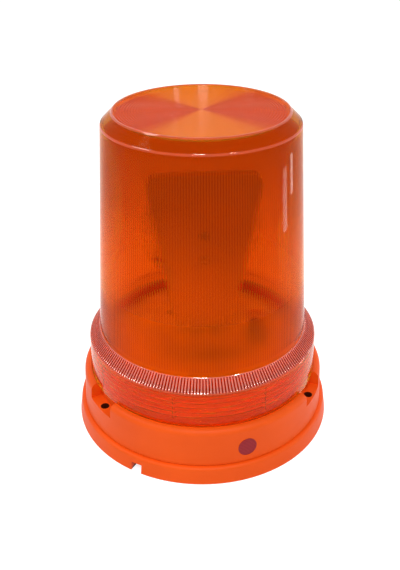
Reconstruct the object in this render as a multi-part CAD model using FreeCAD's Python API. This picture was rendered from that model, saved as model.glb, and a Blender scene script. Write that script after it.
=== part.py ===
import FreeCAD, Part
import math
import os

# Rotating mirror beacon, millimetres. +Z is up along the lamp axis, the origin is the centre of the
# foot's underside. The front is -Y: angles round the body are measured from the front towards +X.

vec = FreeCAD.Vector
axis_z = vec(0, 0, 1)

# ---- clearances ----
running = 0.05                 # shaft in bush, radial
loose = 0.4                    # covers and screws in their holes, radial
seat_gap = 0.2                 # faces that turn past each other, and the seal on its seats
past = 1.0                     # how far a cutting solid runs past the face it cuts
same_size = 1e-4               # lengths closer than this are taken as equal

# ---- foot ring ----
foot_radius = 80.0             # at the ground
foot_flare = 1.3               # how much smaller the ring is at its top
foot_height = 10.0
foot_rounding = 2.0
foot_wall = 6.5
web_level = 5.0                # underside of the plate that closes the foot
web_thickness = 3.0
web_top = web_level + web_thickness
rib_thickness = 2.0
rib_relief = 1.0               # ribs stop this far above the ground
rib_count = 9
hub_ring_radius = 22.0

# ---- drum ----
drum_step = 3.6                # width of the foot ring's ledge round the drum
drum_draft = 0.8               # how much smaller the drum is at its rim
drum_foot_radius = foot_radius - drum_step
drum_rim_radius = drum_foot_radius - drum_draft
drum_height = 23.5             # from the foot ring up to the rim
drum_top = foot_height + drum_height
rim_rounding = 3.8
shadow_gap = 0.6               # small chamfer that draws the line above the foot ring
drum_wall = 3.0
rim_width = 4.0
rim_inner = drum_rim_radius - rim_width
lens_channel_depth = 1.5
channel_level = drum_top - lens_channel_depth

# ---- lens ----
lens_wall = 2.5
skirt_outer = rim_inner - loose
skirt_inner = skirt_outer - lens_wall
skirt_reach = 1.0              # how far the skirt stands down into the drum's channel
skirt_bottom = drum_top - skirt_reach
flare_step = 6.6               # how much smaller the body is than the skirt
flare_height = 6.6
flare_floor = 1.4              # from the ledge up to where the flare starts
body_draft = 6.3               # how much smaller the body is at its shoulder
body_bottom_radius = skirt_outer - flare_step
inner_flare_drop = 1.0         # the flare starts this much lower on the inside
shoulder_radius = body_bottom_radius - body_draft
shoulder_rounding = 2.0
chamfer_width = 6.5
chamfer_height = 6.5
bead_width = 1.4
bead_shares = (0.3, 0.8)       # where the bead's flat top starts and ends, as shares of its width
bead_height = 0.5              # from the chamfer's edge up to the top of the bead
disc_drop = 0.7                # the disc lies this far below the bead
overall_height = 200.0
disc_radius = shoulder_radius - chamfer_width
disc_edge_level = overall_height - bead_height
shoulder_level = disc_edge_level - chamfer_height
disc_level = overall_height - disc_drop
flare_rounding = 1.2

# ---- collar that the lens screws on ----
thread_room = 2.3              # between the collar and the lens's skirt
collar_outer = skirt_inner - thread_room
collar_wall = 3.0
collar_inner = collar_outer - collar_wall
collar_rise = 18.5             # from the drum's rim up to the collar's top
collar_top = drum_top + collar_rise
seal_thickness = 1.6
seal_margin = 0.3
ledge_overhang = 0.8           # the lens's ledge stops this far outside the collar's bore
ledge_inner = collar_inner + ledge_overhang
ledge_level = collar_top + seal_thickness + 2 * seat_gap
flare_bottom = ledge_level + flare_floor
body_bottom = flare_bottom + flare_height

# ---- fixing points ----
fixing_angles = (-60, 60, 180)
fixing_inset = 8.0
fixing_circle = foot_radius - fixing_inset
fixing_hole = 2.6
fixing_boss = fixing_circle - collar_outer - loose
pocket_width = 23.5
pocket_floor = 24.5
pocket_inner = skirt_inner

# ---- cable way ----
cable_angle = -34
notch_width = 6.8
notch_height = 5.5
grommet_inset = 11.4           # from the collar's bore to the grommet's middle
grommet_circle = collar_inner - grommet_inset
grommet_hole = 6.0
cable_bore = 2.7
grommet_lip = 1.6
grommet_flange = 1.2
grommet_taper = 1.0

# ---- gaskets of the foot ----
foot_gasket_inset = 1.6
foot_gasket_width = 3.4
foot_gasket_outer = foot_radius - foot_gasket_inset
foot_gasket_inner = foot_gasket_outer - foot_gasket_width
foot_gasket_depth = 1.2
base_seal_thickness = 1.0
base_seal_inset = 0.1

# ---- screws of the foot ring ----
base_screw_angles = (0, 120, -120)
base_screw_offset = 3.4        # from the collar's outside to the screws
base_screw_circle = collar_outer + base_screw_offset
base_screw_radius = 1.3
base_screw_head = 2.9
base_screw_head_height = 1.5
base_screw_seat = web_level + base_screw_head_height
screw_head_room = 1.1          # the ribs stop this far outside the screw heads' recesses
base_screw_length = 12.0
base_boss = base_screw_circle - collar_outer - loose
screw_column = 9.0             # width of the drum's solid column above each of these screws

# ---- light sensor and its window ----
sensor_angle = 15
sensor_level = 19.6
window_radius = 5.6
window_thickness = 2.2
sensor_radius = 4.0
sensor_length = 6.0
sensor_lead = 0.3
sensor_lead_spacing = 2.5
sensor_lead_length = 10.0

# ---- chassis ----
chassis_drop = 6.0             # the chassis plate's underside lies this far below the collar's top
chassis_level = collar_top - chassis_drop
chassis_thickness = 1.5
chassis_top = chassis_level + chassis_thickness
chassis_gap = 1.5              # between the plate and the collar
chassis_radius = collar_inner - chassis_gap
chassis_boss_inset = 5.9
chassis_boss_circle = collar_inner - chassis_boss_inset
chassis_boss = 4.5
chassis_boss_height = 26.0
chassis_screw_angles = (30, 150, -90)
chassis_screw_radius = 1.5
chassis_screw_length = 9.5
wire_hole = 5.0
wire_hole_place = (-22.0, 24.0)

# ---- screws with pan heads ----
pan_head_ratio = 2.1           # head radius over shank radius
pan_height_ratio = 1.4         # head height over shank radius
slot_width_ratio = 0.33        # slot width over head radius
slot_depth_ratio = 0.4         # slot depth over head height

# ---- lamp post and rotor bearing ----
post_radius = 6.0
post_bore = 4.0
post_tail = 8.0                # how far the post reaches below the chassis plate
post_rise = 32.0               # and above the plate's underside
post_bottom = chassis_level - post_tail
post_top = chassis_level + post_rise
flange_radius = 10.0
flange_height = 2.5
washer_thickness = 1.0
hub_bottom = chassis_top + flange_height + washer_thickness + seat_gap
hub_radius = 11.0
bush_wall = 1.95
hub_height = 14.6
clip_thickness = 1.0
clip_groove = 0.6
clip_radius = 9.0
clip_opening = 4.0
nut_height = 4.0
nut_flats = 17.0

# ---- gear pair ----
gear_module = 0.8
gear_teeth = 75
pinion_teeth = 15
pressure_angle = 20.0
backlash = 0.16                # taken off each tooth's thickness, measured on the pitch circle
gear_width = 5.0
gear_lift = 3.8                # from the hub's underside up to the gear's rim
gear_level = hub_bottom + gear_lift
gear_top = gear_level + gear_width
land_height = 1.0              # raised ring on the gear that the mirror's carrier stands on
land_inner = 18.0
land_outer = 27.5
carrier_seat = gear_top + land_height
pinion_extra = 0.5             # the pinion is this much wider at each side
pinion_hub_wall = 2.4
pinion_hub_height = 2.0
tip_relief = 0.16              # taken off the big gear's tooth tips
dedendum = 1.25                # in modules
flank_steps = 4                # straight pieces in each tooth flank
axle_distance = gear_module * (gear_teeth + pinion_teeth) / 2
web_hole_count = 5
web_hole_radius = 3.6
web_hole_circle = 19.0

# ---- gear motor ----
gearbox_radius = 15.0
gearbox_height = 10.0
motor_radius = 12.2
motor_length = 21.0
motor_cap_height = 3.0
motor_cap_inset = 1.2
motor_bevel = 0.8
motor_foot = chassis_level - gearbox_height - motor_length - motor_cap_height
terminal_size = (0.6, 2.8, 2.6)
terminal_spacing = 12.0
shaft_radius = 1.5
shaft_boss_radius = 3.5
shaft_boss_height = 2.5
shaft_depth = 6.0
shaft_end = 2.5                # how far the shaft stands out of the pinion's plane
motor_screw_offset = 8.5
motor_screw_radius = 1.2
motor_screw_length = 6.0

# ---- lamp holder and bulb ----
holder_radius = 9.5
holder_inner = 7.7
holder_height = 15.0
holder_floor = 2.0
spigot_length = 6.0
spigot_wall = 1.5
pin_rise = 10.0                # the bayonet pins above the post's top
pin_level = post_top + pin_rise
pin_radius = 1.0
pin_gap = 0.3                  # the pins end this far inside the holder's outside
bayonet_turn = 35
bayonet_slot = 2.4
insulator_thickness = 1.0
contact_radius = 1.2
contact_offset = 3.5
solder_radius = 1.5
solder_height = 0.6
cap_radius = 7.5
cap_wall = 0.4
cap_floor = 1.0
cap_rise = 4.3                 # the bulb cap's underside above the post's top
cap_bottom = post_top + cap_rise
cap_height = 14.7
light_rise = 41.8              # the filament above the post's top
light_centre = post_top + light_rise
glass_radius = 12.5
glass_wall = 0.7
glass_low_angle = -40          # where the globe meets the flare of the neck
neck_radius = 6.6
neck_inset = 9.7               # the glass starts this far above the cap's underside
neck_height = 8.0
neck_bottom = cap_bottom + neck_inset
neck_top = neck_bottom + neck_height
stem_gap = 0.1
stem_top_radius = 2.0
stem_height = 12.0
filament_radius = 0.6
filament_length = 8.0
support_radius = 0.4

# ---- mirror and its carrier ----
mirror_rest = 180              # direction that the mirror faces at rest, from the front
mirror_focal = 15.0
mirror_radius = 35.0
mirror_curve_steps = 8
mirror_wall = 1.8
mirror_flange = 2.0
mirror_cutout = 12.0
mirror_cutout_rise = 26.0      # top of the cut-out above the post's top
mirror_boss = 4.0
mirror_boss_height = 1.0
mirror_boss_root = 3.0         # how deep the bosses reach into the dish before they are trimmed
mirror_screw_offset = 8.0
carrier_face = mirror_focal + mirror_wall + mirror_boss_height
carrier_wall = 1.8
carrier_rim = 5.0              # depth of the carrier's rim
carrier_foot_round = 20.0      # radius of its lower end
carrier_half_width = 35.0      # at its top
carrier_rise = 46.2            # its top above the filament
carrier_corner = 7.0
carrier_foot = 9.5
carrier_foot_width = 23.0
gusset_height = 10.0
rotor_screw_radius = 1.2
carrier_screw_spacing = 10.0
carrier_screw_length = 5.0
mirror_screw_length = 4.0

# ---- inner leads ----
lead_radius = 0.8
lead_bend = 2.5
lamp_lead_offset = 1.3
lamp_lead_rise = 11.0          # the lamp leads leave the post's line this far above the board
lamp_lead_slope = 3.0
lamp_lead_end = (-5.0, 0.0)
motor_lead_drop = 1.2          # the motor leads start this far below the motor
motor_lead_reach = 9.0         # how far from the board's edge the motor leads climb
motor_lead_rise = 8.0          # and how high above its underside
motor_lead_end = 4.0           # distance of their solder pads from the board's edge

# ---- control board ----
board_centre = (-22.0, 4.0)
board_size = (54.0, 40.0)
board_thickness = 1.6
board_stand = 7.0
board_level = web_top + board_stand
board_post = 3.0
board_inset = 4.0
board_screw_radius = 1.1
board_screw_length = 5.0
relay_size = (19.0, 10.0, 15.0)
relay_place = (-38.0, 8.0)
relay_rounding = 0.8
capacitor_radius = 5.0
capacitor_height = 14.0
capacitor_place = (-10.0, 15.0)
capacitor_bevel = 0.6
block_size = (12.0, 9.0, 10.0)
block_place = (-32.0, -10.0)
block_screw_radius = 1.6
block_bore = 1.9
block_way = 1.5
block_way_share = 0.35         # height of the wire ways, as a share of the block's
block_screw_share = 0.55       # and of the screws' seats
block_screw_height = 3.0
screw_slot = 0.8               # width and depth of a driver slot


def at(radius, angle, level=0.0):
    a = math.radians(angle)
    return vec(radius * math.sin(a), -radius * math.cos(a), level)


def cylinder(radius, bottom, top, place=vec(0, 0, 0)):
    return Part.makeCylinder(radius, top - bottom, vec(place.x, place.y, bottom), axis_z)


def tube(outer, inner, bottom, top, place=vec(0, 0, 0)):
    return cylinder(outer, bottom, top, place).cut(cylinder(inner, bottom - past, top + past, place))


def block(x_size, y_size, bottom, top, place=vec(0, 0, 0)):
    corner = vec(place.x - x_size / 2, place.y - y_size / 2, bottom)
    return Part.makeBox(x_size, y_size, top - bottom, corner)


def turned(points):
    outline = [vec(r, 0, z) for r, z in points]
    face = Part.Face(Part.makePolygon(outline + [outline[0]]))
    return face.revolve(vec(0, 0, 0), axis_z, 360)


def spoke(inner, outer, width, bottom, top, angle):
    """A straight bar lying along a radius at the given angle from the front."""
    bar = Part.makeBox(width, outer - inner, top - bottom, vec(-width / 2, -outer, bottom))
    bar.rotate(vec(0, 0, 0), axis_z, angle)
    return bar


def ring_edges(shape, radius, level):
    """The circular edges that have this radius and lie at this level."""
    chosen = []
    for edge in shape.Edges:
        curve = edge.Curve
        if isinstance(curve, Part.Circle) and abs(curve.Radius - radius) < same_size:
            if abs(curve.Center.z - level) < same_size:
                chosen.append(edge)
    return chosen


def round_edge(shape, radius, level, rounding):
    return shape.makeFillet(rounding, ring_edges(shape, radius, level))


def bevel_edge(shape, radius, level, size):
    return shape.makeChamfer(size, ring_edges(shape, radius, level))


def pan_screw(shank, length, seat, place):
    """Screw with its head on the seat level and its shank pointing down."""
    head = shank * pan_head_ratio
    top = seat + shank * pan_height_ratio
    screw = cylinder(shank, seat - length, seat, place).fuse(cylinder(head, seat, top, place))
    slot_floor = top - (top - seat) * slot_depth_ratio
    return screw.cut(block(head * 2, head * slot_width_ratio, slot_floor, top + past, place))


def group(solids):
    return Part.makeCompound(solids)


# ---------------------------------------------------------------- foot ring
def base_plate():
    inner = foot_radius - foot_wall
    top_radius = foot_radius - foot_flare
    shape = turned([
        (0, web_level), (inner, web_level), (inner, 0), (foot_radius, 0),
        (top_radius, foot_height), (inner, foot_height), (inner, web_top), (0, web_top),
    ])
    shape = round_edge(shape, top_radius, foot_height, foot_rounding)
    bosses = [cylinder(fixing_boss, 0, foot_height, at(fixing_circle, a)) for a in fixing_angles]
    bosses += [cylinder(base_boss, web_top, foot_height, at(base_screw_circle, a)) for a in base_screw_angles]
    bosses += [cylinder(board_post, web_top, board_level, p) for p in board_corners()]
    shape = shape.fuse([foot_ribs(inner)] + bosses)
    return shape.cut(foot_holes(inner))


def foot_holes(inner):
    over = foot_height + past
    holes = [cylinder(fixing_hole, -past, over, at(fixing_circle, a)) for a in fixing_angles]
    for angle in base_screw_angles:
        place = at(base_screw_circle, angle)
        holes.append(cylinder(base_screw_radius + loose, 0, over, place))
        holes.append(cylinder(base_screw_head + loose, 0, base_screw_seat, place))
    low = board_level - board_screw_length
    holes += [cylinder(board_screw_radius, low, board_level, p) for p in board_corners()]
    holes.append(cylinder(grommet_hole, 0, web_top + past, at(grommet_circle, cable_angle)))
    holes.append(tube(foot_gasket_outer, foot_gasket_inner, 0, foot_gasket_depth))
    beyond = foot_radius + past
    holes.append(spoke(inner - past, beyond, notch_width, -past, web_level, cable_angle))
    holes.append(spoke(inner, beyond, notch_width, -past, notch_height, cable_angle))
    return holes


def foot_ribs(inner):
    """Stiffening ribs under the plate, spread so that the cable way stays free."""
    hub_inner = hub_ring_radius - rib_thickness
    ring = tube(hub_ring_radius, hub_inner, rib_relief, web_level)
    bars = []
    for number in range(rib_count):
        angle = cable_angle + 360 / rib_count * (number + 0.5)
        bars.append(spoke(hub_inner + past, inner + past, rib_thickness, rib_relief, web_level, angle))
    clear = base_screw_head + loose + screw_head_room
    keep_clear = [cylinder(clear, 0, web_level, at(base_screw_circle, a)) for a in base_screw_angles]
    return ring.fuse(bars).cut(keep_clear)


def board_corners():
    half_x = board_size[0] / 2 - board_inset
    half_y = board_size[1] / 2 - board_inset
    centre = vec(board_centre[0], board_centre[1], 0)
    return [centre + vec(sx * half_x, sy * half_y, 0) for sx in (-1, 1) for sy in (-1, 1)]


def foot_gasket():
    ring = tube(foot_gasket_outer - running, foot_gasket_inner + running, 0, foot_gasket_depth)
    inner = foot_gasket_inner - past
    return ring.cut(spoke(inner, foot_radius + past, notch_width, -past, notch_height, cable_angle))


def base_seal():
    top = web_top + base_seal_thickness
    return tube(collar_outer - base_seal_inset, collar_inner + base_seal_inset, web_top, top)


def base_screws():
    solids = []
    for angle in base_screw_angles:
        place = at(base_screw_circle, angle)
        screw = cylinder(base_screw_radius, web_level, base_screw_seat + base_screw_length, place)
        screw = screw.fuse(cylinder(base_screw_head, web_level, base_screw_seat, place))
        slot = block(base_screw_head * 2, screw_slot, web_level - past, web_level + screw_slot, place)
        solids.append(screw.cut(slot))
    return group(solids)


def cable_grommet():
    outer = grommet_hole + grommet_lip
    low = web_level - grommet_flange
    high = web_top + grommet_flange + grommet_taper
    shape = turned([
        (cable_bore, low), (outer, low), (outer, web_level), (grommet_hole, web_level),
        (grommet_hole, web_top), (outer, web_top), (grommet_hole, high), (cable_bore, high),
    ])
    shape.translate(at(grommet_circle, cable_angle))
    return shape


# ---------------------------------------------------------------- drum
def base_housing():
    wall_bottom = web_top + base_seal_thickness
    shape = turned([
        (collar_inner, wall_bottom), (collar_outer, wall_bottom), (collar_outer, foot_height),
        (drum_foot_radius, foot_height), (drum_rim_radius, drum_top), (rim_inner, drum_top),
        (rim_inner, channel_level), (collar_outer, channel_level), (collar_outer, collar_top),
        (collar_inner, collar_top),
    ])
    shape = round_edge(shape, drum_rim_radius, drum_top, rim_rounding)
    shape = bevel_edge(shape, drum_foot_radius, foot_height, shadow_gap)
    shape = shape.cut(drum_core(channel_level - drum_wall))
    shape = shape.fuse(chassis_bosses())
    return shape.cut(fixing_pockets() + drum_holes())


def drum_core(top):
    """Hollow between the drum's two walls, left solid at the screws and the sensor."""
    hollow = tube(drum_rim_radius - drum_wall, collar_outer, foot_height - past, top)
    kept = []
    for angle in fixing_angles:
        kept.append(spoke(collar_inner, foot_radius, pocket_width + 2 * drum_wall, 0, drum_top, angle))
    for angle in base_screw_angles:
        kept.append(spoke(collar_inner, foot_radius, screw_column, 0, drum_top, angle))
    kept.append(spoke(collar_inner, foot_radius, 2 * (window_radius + drum_wall), 0, drum_top, sensor_angle))
    return hollow.cut(kept)


def fixing_pockets():
    cutters = []
    over = drum_top + past
    inside = cylinder(pocket_inner, 0, over)
    for angle in fixing_angles:
        pocket = spoke(collar_inner, foot_radius + past, pocket_width, pocket_floor, over, angle)
        cutters.append(pocket.cut(inside))
        cutters.append(cylinder(fixing_hole, 0, drum_top, at(fixing_circle, angle)))
    return cutters


def chassis_bosses():
    bosses = []
    bottom = chassis_level - chassis_boss_height
    into_wall = collar_inner + collar_wall / 2
    for angle in chassis_screw_angles:
        bosses.append(cylinder(chassis_boss, bottom, chassis_level, at(chassis_boss_circle, angle)))
        bosses.append(spoke(chassis_boss_circle, into_wall, chassis_boss, bottom, chassis_level, angle))
    return bosses


def drum_holes():
    holes = []
    for angle in chassis_screw_angles:
        low = chassis_level - chassis_screw_length
        place = at(chassis_boss_circle, angle)
        holes.append(cylinder(chassis_screw_radius, low, chassis_level + past, place))
    for angle in base_screw_angles:
        top = base_screw_seat + base_screw_length
        holes.append(cylinder(base_screw_radius, 0, top, at(base_screw_circle, angle)))
    outward = at(1, sensor_angle)
    seat = window_face() - window_thickness
    start = at(seat, sensor_angle, sensor_level)
    holes.append(Part.makeCylinder(window_radius, foot_radius - seat, start, outward))
    start = at(collar_inner - past, sensor_angle, sensor_level)
    holes.append(Part.makeCylinder(sensor_radius + running, seat - collar_inner + 2 * past, start, outward))
    return holes


def window_face():
    """Radius of the drum's side at the window's level."""
    share = (sensor_level - foot_height) / drum_height
    return drum_foot_radius + (drum_rim_radius - drum_foot_radius) * share


def sensor_window():
    start = at(window_face() - window_thickness, sensor_angle, sensor_level)
    return Part.makeCylinder(window_radius, window_thickness, start, at(1, sensor_angle))


def light_sensor():
    outward = at(1, sensor_angle)
    side = at(1, sensor_angle + 90)
    back = at(window_face() - window_thickness - sensor_length, sensor_angle, sensor_level)
    can = Part.makeCylinder(sensor_radius, sensor_length, back, outward)
    for sign in (-1, 1):
        root = back + side * (sign * sensor_lead_spacing / 2) + outward
        can = can.fuse(Part.makeCylinder(sensor_lead, sensor_lead_length, root, outward * -1))
    return can


# ---------------------------------------------------------------- lens
def lens():
    inside_disc = disc_level - lens_wall
    inner_shoulder = shoulder_radius - lens_wall
    inner_bottom = body_bottom_radius - lens_wall
    inner_level = body_bottom - inner_flare_drop
    ledge_corner = inner_level - (ledge_inner - inner_bottom)
    shape = turned([
        (skirt_inner, skirt_bottom), (skirt_outer, skirt_bottom), (skirt_outer, flare_bottom),
        (body_bottom_radius, body_bottom), (shoulder_radius, shoulder_level), (disc_radius, disc_edge_level),
        (disc_radius - bead_width * bead_shares[0], overall_height),
        (disc_radius - bead_width * bead_shares[1], overall_height),
        (disc_radius - bead_width, disc_level), (0, disc_level), (0, inside_disc),
        (disc_radius - lens_wall, inside_disc), (inner_shoulder, shoulder_level - lens_wall / 2),
        (inner_bottom, inner_level), (ledge_inner, ledge_corner), (ledge_inner, ledge_level),
        (skirt_inner, ledge_level),
    ])
    shape = round_edge(shape, skirt_outer, flare_bottom, flare_rounding)
    return round_edge(shape, shoulder_radius, shoulder_level, shoulder_rounding)


def lens_seal():
    bottom = collar_top + seat_gap
    return tube(collar_outer - seal_margin, ledge_inner + seal_margin, bottom, bottom + seal_thickness)


# ---------------------------------------------------------------- chassis and motor
def motor_axis(level=0.0):
    return vec(axle_distance, 0, level)


def chassis_plate():
    plate = cylinder(chassis_radius, chassis_level, chassis_top)
    low = chassis_level - past
    high = chassis_top + past
    holes = [cylinder(post_radius + running, low, high)]
    holes.append(cylinder(shaft_boss_radius + loose, low, high, motor_axis()))
    for angle in chassis_screw_angles:
        holes.append(cylinder(chassis_screw_radius + loose, low, high, at(chassis_boss_circle, angle)))
    for place in motor_screw_places():
        holes.append(cylinder(motor_screw_radius + running, low, high, place))
    holes.append(cylinder(wire_hole, low, high, vec(wire_hole_place[0], wire_hole_place[1], 0)))
    return plate.cut(holes)


def motor_screw_places():
    return [motor_axis() + vec(0, sign * motor_screw_offset, 0) for sign in (-1, 1)]


def chassis_screws():
    length = chassis_screw_length + chassis_thickness
    places = [at(chassis_boss_circle, a) for a in chassis_screw_angles]
    return group([pan_screw(chassis_screw_radius, length, chassis_top, p) for p in places])


def gearbox_case():
    bottom = chassis_level - gearbox_height
    case = cylinder(gearbox_radius, bottom, chassis_level, motor_axis())
    case = bevel_edge(case, gearbox_radius, bottom, motor_bevel)
    boss_top = chassis_level + shaft_boss_height
    case = case.fuse(cylinder(shaft_boss_radius, chassis_level, boss_top, motor_axis()))
    bores = [cylinder(shaft_radius + running, chassis_level - shaft_depth, boss_top + past, motor_axis())]
    for place in motor_screw_places():
        bores.append(cylinder(motor_screw_radius, chassis_top - motor_screw_length, chassis_top, place))
    return case.cut(bores)


def motor_body():
    top = chassis_level - gearbox_height
    bottom = motor_foot + motor_cap_height
    return bevel_edge(cylinder(motor_radius, bottom, top, motor_axis()), motor_radius, bottom, motor_bevel)


def motor_cap():
    radius = motor_radius - motor_cap_inset
    cap = cylinder(radius, motor_foot, motor_foot + motor_cap_height, motor_axis())
    return bevel_edge(cap, radius, motor_foot, motor_bevel)


def motor_terminals():
    thick, wide, tall = terminal_size
    places = [motor_axis() + vec(0, sign * terminal_spacing / 2, 0) for sign in (-1, 1)]
    return group([block(thick, wide, motor_foot - tall, motor_foot, p) for p in places])


def motor_screws():
    places = motor_screw_places()
    return group([pan_screw(motor_screw_radius, motor_screw_length, chassis_top, p) for p in places])


def motor_shaft():
    bottom = chassis_level - shaft_depth + seat_gap
    return cylinder(shaft_radius, bottom, gear_top + shaft_end, motor_axis())


# ---------------------------------------------------------------- gears
def involute_point(base, radius, offset):
    """Point of the involute of a base circle at a radius, turned so that the flank is at offset."""
    roll = math.sqrt(max((radius / base) ** 2 - 1, 0))
    angle = offset + roll - math.atan(roll)
    return vec(radius * math.cos(angle), radius * math.sin(angle), 0)


def spur_gear(teeth, width, level, tip_cut, first_angle):
    """Involute spur gear about the Z axis, with a tooth's middle at first_angle."""
    pitch_radius = gear_module * teeth / 2
    pressure = math.radians(pressure_angle)
    base = pitch_radius * math.cos(pressure)
    tip = pitch_radius + gear_module - tip_cut
    root = pitch_radius - dedendum * gear_module
    half_tooth = (math.pi * gear_module / 2 - backlash) / 2 / pitch_radius
    start = -half_tooth - (math.tan(pressure) - pressure)
    low = max(base, root)
    steps = flank_steps
    flank = [involute_point(base, low + (tip - low) * i / steps, start) for i in range(steps + 1)]
    if root < base:
        flank.insert(0, vec(root * math.cos(start), root * math.sin(start), 0))
    tooth = flank + [vec(p.x, -p.y, 0) for p in reversed(flank)]
    outline = []
    for number in range(teeth):
        turn = FreeCAD.Rotation(axis_z, math.degrees(first_angle) + 360 * number / teeth)
        outline += [turn.multVec(p) + vec(0, 0, level) for p in tooth]
    face = Part.Face(Part.makePolygon(outline + [outline[0]]))
    return face.extrude(vec(0, 0, width))


def drive_gear():
    gear = spur_gear(gear_teeth, gear_width, gear_level, tip_relief, 0.0)
    hub_top = hub_bottom + hub_height
    land = tube(land_outer, land_inner, gear_top, carrier_seat)
    gear = gear.fuse([cylinder(hub_radius, hub_bottom, hub_top), land])
    bores = [cylinder(bush_radius(), hub_bottom - past, hub_top + past)]
    for number in range(web_hole_count):
        place = at(web_hole_circle, 360 / web_hole_count * (number + 0.5))
        bores.append(cylinder(web_hole_radius, gear_level - past, carrier_seat + past, place))
    for place in carrier_screw_places():
        depth = carrier_screw_length - carrier_wall
        bores.append(cylinder(rotor_screw_radius, carrier_seat - depth, carrier_seat, place))
    return gear.cut(bores)


def motor_pinion():
    level = gear_level - pinion_extra
    width = gear_width + 2 * pinion_extra
    pinion = spur_gear(pinion_teeth, width, level, 0.0, math.pi + math.pi / pinion_teeth)
    pinion.translate(motor_axis())
    hub_low = level - pinion_hub_height
    pinion = pinion.fuse(cylinder(shaft_radius + pinion_hub_wall, hub_low, level, motor_axis()))
    return pinion.cut(cylinder(shaft_radius, hub_low - past, level + width + past, motor_axis()))


def bush_radius():
    return post_radius + running + bush_wall


def rotor_bush():
    return tube(bush_radius(), post_radius + running, hub_bottom, hub_bottom + hub_height)


def thrust_washer():
    bottom = chassis_top + flange_height
    return tube(flange_radius, post_radius + running, bottom, bottom + washer_thickness)


def clip_level():
    return hub_bottom + hub_height + seat_gap


def retaining_clip():
    top = clip_level() + clip_thickness
    ring = tube(clip_radius, post_radius - clip_groove, clip_level(), top)
    return ring.cut(spoke(0, clip_radius + past, clip_opening, clip_level() - past, top + past, 90))


def lamp_post():
    post = cylinder(post_radius, post_bottom, post_top)
    post = post.fuse(cylinder(flange_radius, chassis_top, chassis_top + flange_height))
    groove = tube(clip_radius, post_radius - clip_groove, clip_level(), clip_level() + clip_thickness)
    return post.cut([cylinder(post_bore, post_bottom - past, post_top + past), groove])


def post_nut():
    corner = nut_flats / math.sqrt(3)
    low = chassis_level - nut_height
    points = [at(corner, 60 * number, low) for number in range(6)]
    nut = Part.Face(Part.makePolygon(points + [points[0]])).extrude(vec(0, 0, nut_height))
    return nut.cut(cylinder(post_radius, low - past, chassis_level + past))


# ---------------------------------------------------------------- lamp
def lamp_holder():
    top = post_top + holder_height
    cup = cylinder(holder_radius, post_top, top)
    cup = cup.cut(cylinder(holder_inner, post_top + holder_floor, top + past))
    low_end = post_top - spigot_length
    cup = cup.fuse(cylinder(post_bore - running, low_end, post_top))
    cup = cup.cut(cylinder(post_bore - spigot_wall, low_end - past, post_top + holder_floor + past))
    low = pin_level - bayonet_slot / 2
    high = low + bayonet_slot
    inner = holder_inner - past
    outer = holder_radius + past
    for side in (0, 180):
        entry = spoke(inner, outer, bayonet_slot, low, top + past, side - bayonet_turn)
        sweep = tube(outer, inner, low, high).common(wedge(side - bayonet_turn, side, low, high))
        end = spoke(inner, outer, bayonet_slot, low, high, side)
        cup = cup.cut([entry, sweep, end])
    return cup


def wedge(first, last, bottom, top):
    """Slice between two angles, far wider than the lamp holder."""
    far = 4 * holder_radius
    points = [vec(0, 0, bottom), at(far, first, bottom), at(far, last, bottom)]
    return Part.Face(Part.makePolygon(points + [points[0]])).extrude(vec(0, 0, top - bottom))


def contact_places():
    return [vec(sign * contact_offset, 0, 0) for sign in (-1, 1)]


def holder_insulator():
    bottom = post_top + holder_floor
    top = bottom + insulator_thickness
    disc = cylinder(holder_inner, bottom, top)
    return disc.cut([cylinder(contact_radius, bottom - past, top + past, p) for p in contact_places()])


def holder_contacts():
    bottom = post_top + holder_floor
    top = cap_bottom - solder_height
    return group([cylinder(contact_radius, bottom, top, p) for p in contact_places()])


def bulb_cap():
    top = cap_bottom + cap_height
    cap = cylinder(cap_radius, cap_bottom, top)
    return cap.cut(cylinder(cap_radius - cap_wall, cap_bottom + cap_floor, top + past))


def bulb_contacts():
    low = cap_bottom - solder_height
    return group([cylinder(solder_radius, low, cap_bottom, p) for p in contact_places()])


def bulb_pins():
    length = holder_radius - cap_radius - pin_gap
    solids = []
    for angle in (0, 180):
        solids.append(Part.makeCylinder(pin_radius, length, at(cap_radius, angle, pin_level), at(1, angle)))
    return group(solids)


def glass_outline(radius, neck):
    """Bulb outline from the neck's foot to the crown: a straight neck, a flare and part of a sphere."""
    low = math.radians(glass_low_angle)
    middle = math.radians(glass_low_angle + 90) / 2
    meeting = vec(radius * math.cos(low), 0, light_centre + radius * math.sin(low))
    halfway = vec(radius * math.cos(middle), 0, light_centre + radius * math.sin(middle))
    crown = vec(0, 0, light_centre + radius)
    straight = Part.makePolygon([vec(neck, 0, neck_bottom), vec(neck, 0, neck_top), meeting])
    return straight.Edges + [Part.Arc(meeting, halfway, crown).toShape()]


def bulb_glass():
    outside = glass_outline(glass_radius, neck_radius)
    inside = glass_outline(glass_radius - glass_wall, neck_radius - glass_wall)
    top = light_centre + glass_radius
    crown = Part.makeLine(vec(0, 0, top), vec(0, 0, top - glass_wall))
    foot = Part.makeLine(vec(neck_radius, 0, neck_bottom), vec(neck_radius - glass_wall, 0, neck_bottom))
    wire = Part.Wire(Part.__sortEdges__(outside + inside + [crown, foot]))
    return Part.Face(wire).revolve(vec(0, 0, 0), axis_z, 360)


def bulb_stem():
    low = neck_radius - glass_wall - stem_gap
    return Part.makeCone(low, stem_top_radius, stem_height, vec(0, 0, neck_bottom), axis_z)


def bulb_filament():
    coil_start = vec(-filament_length / 2, 0, light_centre)
    shape = Part.makeCylinder(filament_radius, filament_length, coil_start, vec(1, 0, 0))
    foot_level = neck_bottom + stem_height + support_radius / 2
    for sign in (-1, 1):
        foot = vec(sign * stem_top_radius / 2, 0, foot_level)
        head = vec(sign * (filament_length / 2 - support_radius), 0, light_centre)
        support = Part.makeCylinder(support_radius, foot.distanceToPoint(head), foot, head - foot)
        shape = shape.fuse(support)
    return shape


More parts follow.
